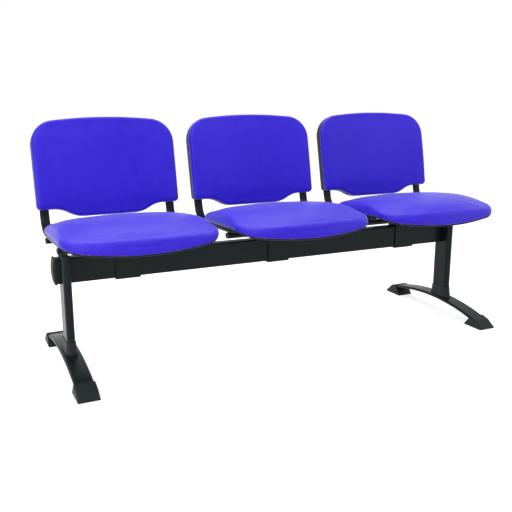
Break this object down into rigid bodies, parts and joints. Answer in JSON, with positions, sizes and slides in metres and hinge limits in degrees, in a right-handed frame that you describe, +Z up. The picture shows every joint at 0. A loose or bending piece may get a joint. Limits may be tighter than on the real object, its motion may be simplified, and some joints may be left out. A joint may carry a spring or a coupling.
{
  "type": "beam seating",
  "caption": "Row of upholstered chairs with curved backrests on one steel beam, carried by a column and arched foot at each end.",
  "frame": {"origin": "on the floor at the centre of the object's footprint, 2.5 mm behind the centre line of the beam", "axes": "+X along the beam to a seated user's left, +Y to the rear, towards the backrests, +Z up"},
  "size_m": [1.548, 0.585, 0.7724],
  "materials": {
    "upholstery": "smooth woven cover, violet blue, slight sheen",
    "board": "moulded plywood",
    "shell_plastic": "fine grained moulding, near black",
    "painted_steel": "satin powder coat, charcoal",
    "plug_plastic": "matte moulding, charcoal",
    "fastener_steel": "zinc plated, slightly dull"
  },
  "bodies": {
    "root": {"beam": "painted_steel", "seat_cushion_left": "upholstery", "seat_board_left": "board", "seat_shell_left": "shell_plastic", "back_cushion_left": "upholstery", "back_board_left": "board", "back_shell_left": "shell_plastic", "frame_rail_left_left": "painted_steel", "frame_rail_left_right": "painted_steel", "crossbar_left_front": "painted_steel", "crossbar_left_rear": "painted_steel", "beam_sleeve_left": "painted_steel", "channel_arm_left": "painted_steel", "tube_plugs_left": "plug_plastic", "seat_cushion_middle": "upholstery", "seat_board_middle": "board", "seat_shell_middle": "shell_plastic", "back_cushion_middle": "upholstery", "back_board_middle": "board", "back_shell_middle": "shell_plastic", "frame_rail_middle_left": "painted_steel", "frame_rail_middle_right": "painted_steel", "crossbar_middle_front": "painted_steel", "crossbar_middle_rear": "painted_steel", "beam_sleeve_middle": "painted_steel", "channel_arm_middle": "painted_steel", "tube_plugs_middle": "plug_plastic", "seat_cushion_right": "upholstery", "seat_board_right": "board", "seat_shell_right": "shell_plastic", "back_cushion_right": "upholstery", "back_board_right": "board", "back_shell_right": "shell_plastic", "frame_rail_right_left": "painted_steel", "frame_rail_right_right": "painted_steel", "crossbar_right_front": "painted_steel", "crossbar_right_rear": "painted_steel", "beam_sleeve_right": "painted_steel", "channel_arm_right": "painted_steel", "tube_plugs_right": "plug_plastic", "beam_end_cap_left": "plug_plastic", "leg_column_left": "painted_steel", "column_plug_left": "plug_plastic", "column_collar_left": "plug_plastic", "leg_foot_left": "painted_steel", "foot_cap_left_front": "plug_plastic", "foot_cap_left_rear": "plug_plastic", "beam_end_cap_right": "plug_plastic", "leg_column_right": "painted_steel", "column_plug_right": "plug_plastic", "column_collar_right": "plug_plastic", "leg_foot_right": "painted_steel", "foot_cap_right_front": "plug_plastic", "foot_cap_right_rear": "plug_plastic", "seat_screws": "fastener_steel", "back_screws": "fastener_steel", "crossbar_bolts": "fastener_steel", "clamp_bolts": "fastener_steel", "leg_bolts": "fastener_steel"}
  },
  "joints": []
}
